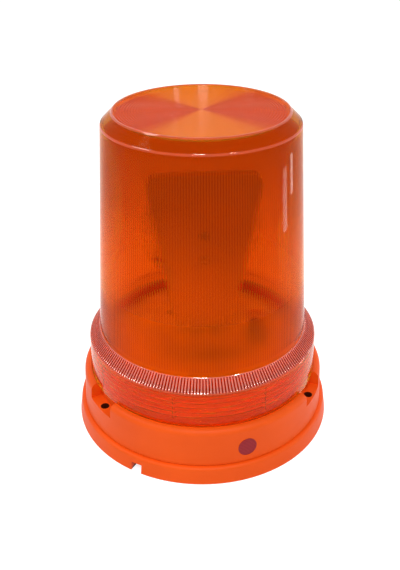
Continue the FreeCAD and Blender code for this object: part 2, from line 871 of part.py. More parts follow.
# ---------------------------------------------------------------- mirror, modelled opening towards the front
def faced(shape):
    """Turns a piece of the mirror assembly to the direction that it rests in."""
    shape.rotate(vec(0, 0, 0), axis_z, mirror_rest)
    return shape


def mirror_curve(shift):
    """Half of the mirror's parabola in the plane x = 0."""
    curve = Part.BSplineCurve()
    points = []
    for number in range(mirror_curve_steps + 1):
        r = mirror_radius * number / mirror_curve_steps
        points.append(vec(0, mirror_focal - r * r / (4 * mirror_focal) + shift, light_centre + r))
    curve.interpolate(points)
    return curve.toShape(), points[0], points[-1]


def turned_dish(edges):
    face = Part.Face(Part.Wire(Part.__sortEdges__(edges)))
    return face.revolve(vec(0, 0, light_centre), vec(0, 1, 0), 360)


def reflector():
    inner, inner_vertex, inner_rim = mirror_curve(0)
    outer, outer_vertex, outer_rim = mirror_curve(mirror_wall)
    lip = vec(0, 0, mirror_flange)
    edges = [inner, outer, Part.makeLine(inner_vertex, outer_vertex)]
    edges += [Part.makeLine(inner_rim, inner_rim + lip), Part.makeLine(inner_rim + lip, outer_rim + lip)]
    edges.append(Part.makeLine(outer_rim + lip, outer_rim))
    front = mirror_hollow()
    root = mirror_focal - mirror_boss_root
    bosses = []
    for level in mirror_screw_levels():
        boss = Part.makeCylinder(mirror_boss, carrier_face - root, vec(0, root, level), vec(0, 1, 0))
        bosses.append(boss.cut(front))
    dish = turned_dish(edges).fuse(bosses)
    cuts = [cylinder(mirror_cutout, light_centre - 2 * mirror_radius, post_top + mirror_cutout_rise)]
    for level in mirror_screw_levels():
        start = vec(0, carrier_face - mirror_screw_length + carrier_wall, level)
        cuts.append(Part.makeCylinder(rotor_screw_radius, mirror_screw_length, start, vec(0, 1, 0)))
    return faced(dish.cut(cuts))


def mirror_hollow():
    """The space in front of the mirror's surface, which its screw bosses must not enter."""
    inner, vertex, rim = mirror_curve(0)
    centre = vec(0, rim.y, light_centre)
    return turned_dish([inner, Part.makeLine(rim, centre), Part.makeLine(centre, vertex)])


def mirror_screw_levels():
    return (light_centre - mirror_screw_offset, light_centre + mirror_screw_offset)


def carrier_screw_places():
    y = carrier_face + (carrier_wall + carrier_foot) / 2
    turn = FreeCAD.Rotation(axis_z, mirror_rest)
    return [turn.multVec(vec(sign * carrier_screw_spacing / 2, y, 0)) for sign in (-1, 1)]


def carrier_outline(inset, face):
    """Tongue shape of the carrier: a round lower end, sides that open upwards and a straight top."""
    radius = carrier_foot_round - inset
    half_width = carrier_half_width - inset
    top = light_centre + carrier_rise - inset
    centre = carrier_seat + carrier_foot_round
    reach = math.hypot(half_width, top - centre)
    turn = math.atan2(top - centre, half_width) - math.acos(radius / reach)
    side = vec(radius * math.cos(turn), face, centre + radius * math.sin(turn))
    low = vec(0, face, centre - radius)
    corner = vec(half_width, face, top)
    other_side = vec(-side.x, face, side.z)
    other_corner = vec(-corner.x, face, top)
    edges = [Part.Arc(other_side, low, side).toShape(), Part.makeLine(side, corner)]
    edges += [Part.makeLine(corner, other_corner), Part.makeLine(other_corner, other_side)]
    return Part.Face(Part.Wire(edges))


def tongue(inset, start, end):
    shape = carrier_outline(inset, start).extrude(vec(0, end - start, 0))
    top = light_centre + carrier_rise - inset
    corners = []
    for edge in shape.Edges:
        along = abs(edge.tangentAt(edge.FirstParameter).y) > 0.9
        if along and abs(edge.CenterOfMass.z - top) < same_size:
            corners.append(edge)
    return shape.makeFillet(carrier_corner - inset, corners)


def reflector_bracket():
    back = carrier_face + carrier_wall
    shape = tongue(0, carrier_face - carrier_rim, back)
    shape = shape.cut(tongue(carrier_wall, carrier_face - carrier_rim - past, carrier_face))
    foot_top = carrier_seat + carrier_wall
    corner = vec(-carrier_foot_width / 2, carrier_face, carrier_seat)
    shape = shape.fuse(Part.makeBox(carrier_foot_width, carrier_foot + carrier_wall, carrier_wall, corner))
    shape = shape.fuse([gusset(-1, back, foot_top), gusset(1, back, foot_top)])
    holes = []
    for level in mirror_screw_levels():
        start = vec(0, carrier_face - past, level)
        hole = Part.makeCylinder(rotor_screw_radius + running, carrier_wall + 2 * past, start, vec(0, 1, 0))
        holes.append(hole)
    shape = faced(shape.cut(holes))
    for place in carrier_screw_places():
        hole = cylinder(rotor_screw_radius + running, carrier_seat - past, foot_top + past, place)
        shape = shape.cut(hole)
    return shape


def gusset(sign, back, foot_top):
    """Triangular rib between the carrier's back and its foot, at one end of the foot."""
    x = sign * (carrier_foot_width - carrier_wall) / 2 - carrier_wall / 2
    low = vec(x, back, foot_top)
    points = [low, low + vec(0, carrier_foot, 0), low + vec(0, 0, gusset_height), low]
    return Part.Face(Part.makePolygon(points)).extrude(vec(carrier_wall, 0, 0))


def reflector_screws():
    solids = []
    for level in mirror_screw_levels():
        screw = pan_screw(rotor_screw_radius, mirror_screw_length, 0, vec(0, 0, 0))
        screw.rotate(vec(0, 0, 0), vec(1, 0, 0), -90)
        screw.translate(vec(0, carrier_face + carrier_wall, level))
        solids.append(screw)
    return faced(group(solids))


def bracket_screws():
    seat = carrier_seat + carrier_wall
    places = carrier_screw_places()
    return group([pan_screw(rotor_screw_radius, carrier_screw_length, seat, p) for p in places])


# ---------------------------------------------------------------- control board
def board_top():
    return board_level + board_thickness


def control_board():
    centre = vec(board_centre[0], board_centre[1], 0)
    board = block(board_size[0], board_size[1], board_level, board_top(), centre)
    bore = board_screw_radius + running
    return board.cut([cylinder(bore, board_level - past, board_top() + past, p) for p in board_corners()])


def board_screws():
    length = board_screw_length + board_thickness
    return group([pan_screw(board_screw_radius, length, board_top(), p) for p in board_corners()])


def board_relay():
    x, y, z = relay_size
    relay = block(x, y, board_top(), board_top() + z, vec(relay_place[0], relay_place[1], 0))
    upright = [e for e in relay.Edges if abs(e.tangentAt(e.FirstParameter).z) > 0.9]
    return relay.makeFillet(relay_rounding, upright)


def board_capacitor():
    top = board_top() + capacitor_height
    can = cylinder(capacitor_radius, board_top(), top, vec(capacitor_place[0], capacitor_place[1], 0))
    return bevel_edge(can, capacitor_radius, top, capacitor_bevel)


def terminal_ways():
    centre = vec(block_place[0], block_place[1], 0)
    return [centre + vec(sign * block_size[0] / 4, 0, 0) for sign in (-1, 1)]


def terminal_block():
    x, y, z = block_size
    top = board_top() + z
    shape = block(x, y, board_top(), top, vec(block_place[0], block_place[1], 0))
    cuts = []
    for way in terminal_ways():
        cuts.append(cylinder(block_bore, board_top() + z * block_screw_share, top + past, way))
        start = vec(way.x, way.y - y / 2 - past, board_top() + z * block_way_share)
        cuts.append(Part.makeCylinder(block_way, y / 2 + past, start, vec(0, 1, 0)))
    return shape.cut(cuts)


def terminal_screws():
    solids = []
    low = board_top() + block_size[2] * block_screw_share
    high = low + block_screw_height
    for way in terminal_ways():
        screw = cylinder(block_screw_radius, low, high, way)
        slot = block(2 * block_screw_radius, screw_slot, high - screw_slot, high + past, way)
        solids.append(screw.cut(slot))
    return group(solids)


# ---------------------------------------------------------------- leads inside the housing
def lead(points):
    """Round wire along straight runs that are joined by tangent arcs."""
    edges = []
    start = points[0]
    for before, corner, after in zip(points, points[1:], points[2:]):
        back = (before - corner).normalize()
        ahead = (after - corner).normalize()
        half = (math.pi - back.getAngle(ahead)) / 2
        reach = lead_bend * math.tan(half)
        first = corner + back * reach
        last = corner + ahead * reach
        inward = (back + ahead).normalize()
        middle = corner + inward * (lead_bend / math.cos(half) - lead_bend)
        edges.append(Part.makeLine(start, first))
        edges.append(Part.Arc(first, middle, last).toShape())
        start = last
    edges.append(Part.makeLine(start, points[-1]))
    path = Part.Wire(edges)
    ring = Part.Wire(Part.makeCircle(lead_radius, points[0], (points[1] - points[0]).normalize()))
    return path.makePipeShell([ring], True, False)


def lamp_leads():
    solids = []
    pad_x, pad_y = lamp_lead_end
    turn_level = board_level + lamp_lead_rise
    for sign in (-1, 1):
        x = sign * lamp_lead_offset
        side = pad_y + sign * 2 * lamp_lead_offset
        top = vec(x, 0, post_top + holder_floor)
        above = vec(pad_x, side, turn_level - lamp_lead_slope)
        solids.append(lead([top, vec(x, 0, turn_level), above, vec(pad_x, side, board_top())]))
    return group(solids)


def motor_leads():
    solids = []
    edge = board_centre[0] + board_size[0] / 2
    climb = edge + motor_lead_reach
    pad = edge - motor_lead_end
    low = motor_foot - motor_lead_drop
    high = board_level + motor_lead_rise
    tab = axle_distance - terminal_size[0] / 2
    for sign in (-1, 1):
        y = sign * terminal_spacing / 2
        points = [vec(tab, y, low), vec(climb, y, low), vec(climb, y, high), vec(pad, y, high)]
        solids.append(lead(points + [vec(pad, y, board_top())]))
    return group(solids)


pieces = (
    base_plate, foot_gasket, base_seal, base_screws, cable_grommet, base_housing, sensor_window, light_sensor,
    lens, lens_seal, chassis_plate, chassis_screws, gearbox_case, motor_body, motor_cap, motor_terminals,
    motor_screws, motor_shaft, motor_pinion, drive_gear, rotor_bush, thrust_washer, retaining_clip, lamp_post,
    post_nut, lamp_holder, holder_insulator, holder_contacts, bulb_cap, bulb_contacts, bulb_pins, bulb_glass,
    bulb_stem, bulb_filament, reflector, reflector_bracket, reflector_screws, bracket_screws, control_board,
    board_screws, board_relay, board_capacitor, terminal_block, terminal_screws, lamp_leads, motor_leads,
)

os.makedirs("parts", exist_ok=True)
for piece in pieces:
    solid = piece()
    solid.exportStep("parts/" + piece.__name__ + ".step")
    print(piece.__name__, len(solid.Solids), round(solid.Volume, 1), solid.isValid())
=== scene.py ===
import math

import bmesh
import bpy
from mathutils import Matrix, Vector


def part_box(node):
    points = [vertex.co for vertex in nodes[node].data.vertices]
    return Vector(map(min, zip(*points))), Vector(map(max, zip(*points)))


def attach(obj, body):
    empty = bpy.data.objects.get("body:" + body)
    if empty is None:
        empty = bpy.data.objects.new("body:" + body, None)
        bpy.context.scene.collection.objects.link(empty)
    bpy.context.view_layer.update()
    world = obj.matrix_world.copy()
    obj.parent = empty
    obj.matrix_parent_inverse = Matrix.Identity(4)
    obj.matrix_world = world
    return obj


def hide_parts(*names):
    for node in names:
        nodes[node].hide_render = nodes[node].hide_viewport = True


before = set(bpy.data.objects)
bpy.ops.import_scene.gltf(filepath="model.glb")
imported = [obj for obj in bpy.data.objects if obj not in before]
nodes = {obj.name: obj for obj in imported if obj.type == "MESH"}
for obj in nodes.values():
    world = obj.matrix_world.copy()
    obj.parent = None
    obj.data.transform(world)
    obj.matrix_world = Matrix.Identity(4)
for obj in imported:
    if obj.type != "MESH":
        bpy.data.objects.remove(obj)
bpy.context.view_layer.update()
mm = 0.001


def polar(radius, angle, level):
    # angle in degrees from the front (-Y) towards +X, sizes in mm, result in metres
    a = math.radians(angle)
    return Vector((radius * math.sin(a), -radius * math.cos(a), level)) * mm


def addMesh(name, verts, faces, materials, slots=None, closed=True):
    # slots gives each face's material
    mesh = bpy.data.meshes.new(name)
    mesh.from_pydata([tuple(v) for v in verts], [], faces)
    for material in materials:
        mesh.materials.append(material)
    if slots:
        mesh.polygons.foreach_set("material_index", slots)
    mesh.polygons.foreach_set("use_smooth", [True] * len(mesh.polygons))
    mesh.update()
    if closed:
        shape = bmesh.new()
        shape.from_mesh(mesh)
        bmesh.ops.recalc_face_normals(shape, faces=shape.faces)
        shape.to_mesh(mesh)
        shape.free()
    obj = bpy.data.objects.new(name, mesh)
    bpy.context.scene.collection.objects.link(obj)
    return obj


class Tree:
    # keeps the material code short
    def __init__(self, name):
        self.material = bpy.data.materials.new(name)
        self.material.use_nodes = True
        self.nodes = self.material.node_tree.nodes
        self.links = self.material.node_tree.links
        self.shader = self.nodes["Principled BSDF"]

    def add(self, kind, **values):
        # a value is a setting of the node, or else the start value of a socket
        node = self.nodes.new(kind)
        for key, value in values.items():
            if hasattr(node, key):
                setattr(node, key, value)
            else:
                node.inputs[key.replace("_", " ")].default_value = value
        return node

    def link(self, source, target):
        self.links.new(source, target)

    def feed(self, source, socket):
        self.links.new(source, self.shader.inputs[socket])

    def set(self, **values):
        for key, value in values.items():
            self.shader.inputs[key.replace("_", " ")].default_value = value

    def coordinates(self, scale=(1, 1, 1)):
        place = self.add("ShaderNodeMapping", Scale=scale)
        self.link(self.add("ShaderNodeTexCoord").outputs["Object"], place.inputs["Vector"])
        return place.outputs["Vector"]

    def split(self, vector):
        node = self.add("ShaderNodeSeparateXYZ")
        self.link(vector, node.inputs[0])
        return node.outputs

    def noise(self, scale, detail=3.0, stretch=(1, 1, 1), vector=None):
        node = self.add("ShaderNodeTexNoise", Scale=scale, Detail=detail)
        self.link(vector or self.coordinates(stretch), node.inputs["Vector"])
        return node.outputs["Fac"]

    def rings(self, axis, scale, distortion=0.0):
        # rings round an axis, 0.314 / scale apart in metres
        node = self.add("ShaderNodeTexWave", wave_type="RINGS", rings_direction=axis, Scale=scale)
        node.inputs["Distortion"].default_value = distortion
        self.link(self.coordinates(), node.inputs["Vector"])
        return node.outputs["Fac"]

    def spread(self, value, low, high, start=0.0, end=1.0):
        # takes start to end and makes it low to high
        node = self.add("ShaderNodeMapRange", From_Min=start, From_Max=end, To_Min=low, To_Max=high)
        self.link(value, node.inputs["Value"])
        return node.outputs["Result"]

    def combine(self, operation, first, second):
        node = self.add("ShaderNodeMath", operation=operation)
        for source, socket in zip((first, second), node.inputs):
            if isinstance(source, float):
                socket.default_value = source
            else:
                self.link(source, socket)
        return node.outputs[0]

    def blend(self, factor, first, second):
        ramp = self.add("ShaderNodeValToRGB")
        for element, colour, position in zip(ramp.color_ramp.elements, (first, second), (0.3, 0.7)):
            element.color = (*colour, 1)
            element.position = position
        self.link(factor, ramp.inputs["Fac"])
        return ramp.outputs["Color"]

    def bump(self, height, strength, distance, below=None):
        node = self.add("ShaderNodeBump", Strength=strength, Distance=distance)
        self.link(height, node.inputs["Height"])
        if below:
            self.link(below, node.inputs["Normal"])
        self.feed(node.outputs["Normal"], "Normal")
        return node.outputs["Normal"]


cameraSetup = {
    "azimuth": -4.7,        # degrees from the front towards +X
    "distance": 434.7,      # level distance from the beacon's axis, mm
    "height": 334.9,        # mm above the ground
    "pitch": 22.0,          # degrees below level
    "roll": 0.3,
    "lens": 50.13,          # focal length, mm
    "sensor": 36,           # its width, mm
    "shiftY": -0.1945,
}


def makeCamera(setup):
    data = bpy.data.cameras.new("camera")
    data.lens = setup["lens"]
    data.sensor_width = setup["sensor"]
    data.shift_y = setup["shiftY"]
    data.clip_start = 0.01      # m
    obj = bpy.data.objects.new("camera", data)
    bpy.context.scene.collection.objects.link(obj)
    obj.location = polar(setup["distance"], setup["azimuth"], setup["height"])
    tilt, roll, turn = (math.radians(v) for v in (90 - setup["pitch"], setup["roll"], setup["azimuth"]))
    obj.rotation_euler = (tilt, roll, turn)
    bpy.context.scene.camera = obj
    bpy.context.scene.view_settings.view_transform = "Standard"


makeCamera(cameraSetup)
print("camera set")

studio = {
    "floorSize": 6.0,           # m
    "floorGlow": 0.80,          # share of the floor's white that needs no lamp
    "floorShade": 0.45,         # share that the lamps give, and that the object's shadow takes away
    "floorBounce": 0.85,        # the floor as it lights the object
    "worldLight": 0.45,
    "target": 0.11,             # height that the lamps point at, m
    # azimuth from the front, elevation, distance in m, width, height, watts
    "lamps": {
        "frontLamp": (-8, 52, 1.4, 0.26, 0.24, 7.5),
        "rightLamp": (36, 46, 1.4, 0.12, 0.12, 2.6),
        "leftLamp": (-84, 44, 1.4, 0.40, 0.40, 4.6),
        "backPanel": (175, 56, 1.6, 0.80, 0.35, 7.0),
    },
    # close by and small, to be mirrored in the lens
    "windows": {
        "windowNear": (90, -10, 0.33, 0.040, 0.06, 0.100),
        "windowFar": (104, -8, 0.36, 0.03, 0.04, 0.050),
    },
}


def seenPath(tree):
    # 1 for rays from the camera or by way of glass and gloss, 0 for the rays that carry light
    path = tree.nodes.new("ShaderNodeLightPath")
    total = path.outputs["Is Camera Ray"]
    for name in ("Is Glossy Ray", "Is Transmission Ray"):
        larger = tree.nodes.new("ShaderNodeMath")
        larger.operation = "MAXIMUM"
        tree.links.new(total, larger.inputs[0])
        tree.links.new(path.outputs[name], larger.inputs[1])
        total = larger.outputs[0]
    return total


def floorMaterial(setup):
    tree = Tree("paleFloor")
    bounce, shade = setup["floorBounce"], setup["floorShade"]
    plain = tree.add("ShaderNodeBsdfDiffuse", Color=(bounce, bounce, bounce, 1))
    shaded = tree.add("ShaderNodeBsdfDiffuse", Color=(shade, shade, shade, 1))
    glow = tree.add("ShaderNodeEmission", Strength=setup["floorGlow"])
    both = tree.add("ShaderNodeAddShader")
    tree.link(shaded.outputs[0], both.inputs[0])
    tree.link(glow.outputs[0], both.inputs[1])
    mix = tree.add("ShaderNodeMixShader")
    tree.link(seenPath(tree), mix.inputs[0])
    tree.link(plain.outputs[0], mix.inputs[1])
    tree.link(both.outputs[0], mix.inputs[2])
    tree.link(mix.outputs[0], tree.nodes["Material Output"].inputs["Surface"])
    return tree.material


def makeWorld(setup):
    world = bpy.data.worlds.new("studio")
    world.use_nodes = True
    bpy.context.scene.world = world
    tree = world.node_tree
    lit, seen = tree.nodes["Background"], tree.nodes.new("ShaderNodeBackground")
    for background, strength in ((lit, setup["worldLight"]), (seen, 1.0)):
        background.inputs["Color"].default_value = (1, 1, 1, 1)
        background.inputs["Strength"].default_value = strength
    mix = tree.nodes.new("ShaderNodeMixShader")
    tree.links.new(seenPath(tree), mix.inputs[0])
    tree.links.new(lit.outputs[0], mix.inputs[1])
    tree.links.new(seen.outputs[0], mix.inputs[2])
    tree.links.new(mix.outputs[0], tree.nodes["World Output"].inputs["Surface"])


def makeLamp(name, azimuth, elevation, distance, width, tall, power):
    data = bpy.data.lights.new(name, "AREA")
    data.shape = "RECTANGLE"
    data.size = width
    data.size_y = tall
    data.energy = power
    obj = bpy.data.objects.new(name, data)
    bpy.context.scene.collection.objects.link(obj)
    rise = math.radians(elevation)
    target = Vector((0, 0, studio["target"]))
    away = polar(distance * math.cos(rise) / mm, azimuth, distance * math.sin(rise) / mm)
    obj.location = target + away
    obj.rotation_euler = (target - obj.location).to_track_quat("-Z", "Y").to_euler()
    return obj


def makeStudio(setup):
    size = setup["floorSize"]
    corners = [(-size, -size, 0), (size, -size, 0), (size, size, 0), (-size, size, 0)]
    floor = addMesh("floor", corners, [(0, 1, 2, 3)], [floorMaterial(setup)], closed=False)
    makeWorld(setup)
    for name, values in setup["lamps"].items():
        makeLamp(name, *values)
    for name, values in setup["windows"].items():
        makeLamp(name, *values).visible_transmission = False    # not seen through the lens from the far side


makeStudio(studio)
print("studio ready")

amberKinds = {
    # colour, darker colour that is painted shade (towards the top of the walls, and at the sides of the top's
    # painted fans), roughness, refraction index, clearness.
    # Low indexes keep the white surroundings out of the colour.
    "amberOuter": ((0.90, 0.270, 0.004), (0.60, 0.160, 0.003), 0.02, 1.09, 0.95),
    "amberInner": ((0.93, 0.300, 0.004), (0.66, 0.190, 0.003), 0.03, 1.12, 0.93),
    # the deeper faces of the inner flutes: darker than amberInner as painted shade in the grooves
    "amberGroovePaintedShade": ((0.80, 0.205, 0.003), (0.54, 0.135, 0.003), 0.04, 1.12, 0.84),
    # the top: its bright colour is the painted highlight of the fans, its darker colour their painted shade at
    # the sides
    "amberTop": ((1.00, 0.255, 0.006), (0.74, 0.075, 0.004), 0.09, 1.07, 0.62),
    # the flare's rib crests: the pale pink colour is a painted highlight of glints, on top of the real
    # reflections from the high index
    "amberFlarePaintedGlint": ((0.97, 0.200, 0.120), (0.88, 0.150, 0.090), 0.08, 2.20, 0.62),
    # the flare's rib valleys: the dark red is painted shade
    "amberValleyPaintedShade": ((0.48, 0.022, 0.006), (0.40, 0.018, 0.005), 0.20, 1.15, 0.60),
    # the skirt: lighter and yellower than the rest of the lens as painted light, for light carried along its
    # wall
    "amberSkirt": ((0.97, 0.400, 0.018), (0.92, 0.340, 0.014), 0.11, 1.20, 0.95),
    "amberEdge": ((0.92, 0.160, 0.008), (0.80, 0.115, 0.006), 0.05, 1.50, 0.70),
}
amberLook = {
    "sheen": (1.0, 0.88, 0.80, 1),      # tint of the reflections
    "paintedShadeFrom": 0.05,                  # level where the painted shade starts to darken the wall, m
    "paintedShadeTo": 0.20,
    "flowScale": 9.0,                   # slow changes of colour where the plastic flowed, drawn out upwards
    "flowStretch": (1, 1, 0.35),
    "flowSpread": 0.25,
    "fanStart": 0.10,                   # how dark the middle of the top's painted bright fans is
    "fanScale": 14.0,                   # streaks in the painted fans
    "fanSpread": 0.18,
    "finishScale": 300.0,               # fine changes of gloss
    "finishSpread": 0.2,
    "hazeFrom": 0.100,                  # below this level the fluted wall turns hazy, m
    "hazeTo": 0.082,
    "haze": 0.60,                       # its roughness there
    "swellScale": 22.0,                 # soft swells of the moulded surface
    "swellStretch": (1, 1, 0.4),
    "swellStrength": 0.10,
    "swellHeight": 0.0006,
    "ringScale": 196.0,                 # turned rings on the top
    "ringHeight": 0.00016,
}


def paintedFanShare(tree, look):
    # painted highlight and shade: fans on the top, bright to the front and the back and darker at the sides, in
    # place of the light that turned rings mirror
    ray = tree.add("ShaderNodeVectorMath", operation="NORMALIZE")
    tree.link(tree.coordinates((1, 1, 0)), ray.inputs[0])
    sideways = tree.split(ray.outputs["Vector"])["X"]
    fans = tree.combine("MULTIPLY", sideways, sideways)
    streaks = tree.noise(look["fanScale"], 3.0, vector=ray.outputs["Vector"])
    uneven = tree.spread(streaks, -look["fanSpread"], look["fanSpread"])
    return tree.combine("ADD", tree.combine("ADD", fans, look["fanStart"]), uneven)


def wallShare(tree, look, height):
    # painted shade: darker towards the top, in place of the dark inside seen through the upper wall, with slow
    # random changes of tone where the plastic flowed
    rise = tree.spread(height, 0.0, 1.0, look["paintedShadeFrom"], look["paintedShadeTo"])
    flow = tree.noise(look["flowScale"], 2.0, look["flowStretch"])
    return tree.combine("ADD", rise, tree.spread(flow, -look["flowSpread"], look["flowSpread"]))


def amberPlastic(name):
    colour, paintedShadeColour, roughness, ior, clearness = amberKinds[name]
    look = amberLook
    tree = Tree(name)
    tree.set(IOR=ior, Transmission_Weight=clearness, Specular_Tint=look["sheen"])
    height = tree.split(tree.coordinates())["Z"]
    isTop = name == "amberTop"
    share = paintedFanShare(tree, look) if isTop else wallShare(tree, look, height)
    # blends from the colour to its painted shade
    tree.feed(tree.blend(share, colour, paintedShadeColour), "Base Color")
    low, high = roughness * (1 - look["finishSpread"]), roughness * (1 + look["finishSpread"])
    finish = tree.spread(tree.noise(look["finishScale"], 2.0), low, high)
    if name in ("amberInner", "amberGroovePaintedShade"):
        haze = tree.spread(height, 0.0, look["haze"], look["hazeFrom"], look["hazeTo"])
        finish = tree.combine("ADD", finish, haze)
    tree.feed(finish, "Roughness")
    swells = tree.noise(look["swellScale"], 2.0, look["swellStretch"])
    soft = tree.bump(swells, look["swellStrength"], look["swellHeight"])
    if isTop:
        tree.bump(tree.rings("Z", look["ringScale"]), 1.0, look["ringHeight"], soft)
    return tree.material


plasticLooks = {
    # colour, its darker patches, roughness, specular, scale of the grain, height of the grain in m
    "housingOrange": ((0.86, 0.098, 0.005), (0.80, 0.086, 0.004), 0.46, 0.16, 1400, 0.00006),
    "holeShade": ((0.085, 0.010, 0.003), (0.060, 0.008, 0.003), 0.60, 0.10, 1400, 0.00006),
    "blackRubber": ((0.018, 0.018, 0.019), (0.030, 0.030, 0.030), 0.62, 0.40, 900, 0.00006),
    "greySealFoam": ((0.10, 0.10, 0.105), (0.16, 0.16, 0.16), 0.80, 0.30, 700, 0.0003),
    "paleSealFoam": ((0.42, 0.40, 0.38), (0.50, 0.48, 0.45), 0.80, 0.30, 700, 0.0003),
    "whiteAcetal": ((0.80, 0.78, 0.72), (0.72, 0.70, 0.65), 0.35, 0.50, 1400, 0.00006),
    "carrierNylon": ((0.74, 0.72, 0.68), (0.66, 0.65, 0.61), 0.45, 0.50, 1400, 0.00006),
    "blackPlastic": ((0.025, 0.025, 0.027), (0.040, 0.040, 0.042), 0.40, 0.50, 1400, 0.00006),
    "brownPhenolic": ((0.11, 0.045, 0.018), (0.15, 0.065, 0.026), 0.40, 0.50, 1400, 0.00006),
    "circuitBoard": ((0.015, 0.13, 0.05), (0.020, 0.17, 0.07), 0.30, 0.50, 1400, 0.00006),
    "relayBlue": ((0.030, 0.10, 0.38), (0.025, 0.08, 0.32), 0.30, 0.50, 1400, 0.00006),
    "terminalGreen": ((0.040, 0.24, 0.09), (0.035, 0.20, 0.08), 0.38, 0.50, 1400, 0.00006),
    "capacitorSleeve": ((0.02, 0.02, 0.05), (0.03, 0.03, 0.07), 0.25, 0.50, 1400, 0.00006),
    "leadRed": ((0.50, 0.030, 0.02), (0.44, 0.025, 0.02), 0.42, 0.50, 1400, 0.00006),
    "leadBlack": ((0.02, 0.02, 0.02), (0.03, 0.03, 0.03), 0.42, 0.50, 1400, 0.00006),
}
plasticFinish = {
    "patchScale": 30.0,
    "glossScale": 160.0,
    "gloss": (-0.05, 0.07),     # what the patches take from the roughness and add to it
    "grainStrength": 0.35,
}


def mouldedPlastic(name, finish):
    colour, darker, roughness, specular, grain, depth = plasticLooks[name]
    smoother, rougher = (roughness + change for change in finish["gloss"])
    tree = Tree(name)
    tree.feed(tree.blend(tree.noise(finish["patchScale"], 4.0), colour, darker), "Base Color")
    tree.feed(tree.spread(tree.noise(finish["glossScale"]), smoother, rougher), "Roughness")
    tree.bump(tree.noise(grain, 2.0), finish["grainStrength"], depth)
    tree.set(Specular_IOR_Level=specular)
    return tree.material


metalLooks = {
    # colour, roughness, strength of the brush marks, their stretch along X, Y and Z, share of metal
    "zincSteel": ((0.64, 0.65, 0.66), 0.34, 0.20, (1, 1, 1), 1.0),
    "plateSteel": ((0.88, 0.88, 0.87), 0.60, 0.25, (1, 12, 1), 0.15),   # dull with white zinc
    "canSteel": ((0.62, 0.63, 0.65), 0.28, 0.15, (1, 1, 10), 1.0),
    "brightPlating": ((0.86, 0.86, 0.87), 0.10, 0.0, (1, 1, 1), 1.0),
    "mirrorCoat": ((0.93, 0.93, 0.93), 0.05, 0.0, (1, 1, 1), 1.0),
    "brass": ((0.76, 0.54, 0.24), 0.28, 0.10, (1, 1, 1), 1.0),
    "tinnedCopper": ((0.74, 0.70, 0.64), 0.30, 0.0, (1, 1, 1), 1.0),
    "tungsten": ((0.34, 0.33, 0.33), 0.45, 0.0, (1, 1, 1), 1.0),
}
metalFinish = {
    "patchScale": 120.0,
    "patches": 0.84,            # share of the colour that the patches keep
    "streakScale": 420.0,
    "gloss": (0.8, 1.3),        # share of the roughness between the brush marks and on them
    "brushHeight": 0.00003,     # m
}


def metal(name, finish):
    colour, roughness, brush, stretch, share = metalLooks[name]
    smoother, rougher = (roughness * part for part in finish["gloss"])
    tree = Tree(name)
    tree.set(Metallic=share)
    darker = tuple(c * finish["patches"] for c in colour)
    tree.feed(tree.blend(tree.noise(finish["patchScale"], 5.0), colour, darker), "Base Color")
    streaks = tree.noise(finish["streakScale"], 4.0, stretch)
    tree.feed(tree.spread(streaks, smoother, rougher), "Roughness")
    if brush:
        tree.bump(streaks, brush, finish["brushHeight"])
    return tree.material


bulbLook = {
    "colour": (0.98, 0.98, 0.97),
    "patches": 0.97,            # share of the colour that the patches keep
    "patchScale": 40.0,
    "roughness": 0.0,
    "ior": 1.5,                 # refraction index
}
windowLook = {
    "colour": (0.34, 0.012, 0.020),
    "ring": (0.30, 0.010, 0.017),
    "ringScale": 180.0,
    "ringWander": 0.4,
    "roughness": 0.36,
    "clearness": 0.10,
    "ior": 1.3,
}


def clearGlass(look):
    tree = Tree("bulbGlass")
    darker = tuple(c * look["patches"] for c in look["colour"])
    tree.feed(tree.blend(tree.noise(look["patchScale"]), look["colour"], darker), "Base Color")
    tree.set(Transmission_Weight=1.0, Roughness=look["roughness"], IOR=look["ior"])
    return tree.material


def sensorWindow(look):
    # dark red-violet plastic with the faint rings of its turned mould
    tree = Tree("sensorPurple")
    rings = tree.rings("Y", look["ringScale"], look["ringWander"])
    tree.feed(tree.blend(rings, look["colour"], look["ring"]), "Base Color")
    tree.set(Roughness=look["roughness"], Transmission_Weight=look["clearness"], IOR=look["ior"])
    return tree.material


materials = {name: amberPlastic(name) for name in amberKinds}
materials.update({name: mouldedPlastic(name, plasticFinish) for name in plasticLooks})
materials.update({name: metal(name, metalFinish) for name in metalLooks})
materials["bulbGlass"] = clearGlass(bulbLook)
materials["sensorPurple"] = sensorWindow(windowLook)

finishes = {
    # each material with the CAD pieces that take it
    "housingOrange": ("base_plate", "base_housing"),
    "blackRubber": ("foot_gasket", "cable_grommet"),
    "greySealFoam": ("base_seal",),
    "paleSealFoam": ("lens_seal",),
    "sensorPurple": ("sensor_window",),
    "blackPlastic": ("light_sensor", "gearbox_case", "motor_cap"),
    "whiteAcetal": ("drive_gear",),
    "carrierNylon": ("reflector_bracket",),
    "brownPhenolic": ("holder_insulator",),
    "circuitBoard": ("control_board",),
    "relayBlue": ("board_relay",),
    "capacitorSleeve": ("board_capacitor",),
    "terminalGreen": ("terminal_block",),
    "leadRed": ("lamp_leads",),
    "leadBlack": ("motor_leads",),
    "plateSteel": ("chassis_plate",),
    "canSteel": ("motor_body",),
    "brightPlating": ("motor_shaft", "lamp_post", "lamp_holder"),
    "mirrorCoat": ("reflector",),
    "brass": ("motor_terminals", "motor_pinion", "rotor_bush", "holder_contacts", "bulb_cap", "bulb_pins"),
    "tinnedCopper": ("bulb_contacts",),
    "tungsten": ("bulb_filament",),
    "bulbGlass": ("bulb_glass", "bulb_stem"),
    "zincSteel": (
        "base_screws", "chassis_screws", "motor_screws", "thrust_washer", "retaining_clip", "post_nut",
        "reflector_screws", "bracket_screws", "board_screws", "terminal_screws",
    ),
}
sharpAngles = {"nodes": 28, "lens": 32}     # edges sharper than this stay crisp, in degrees
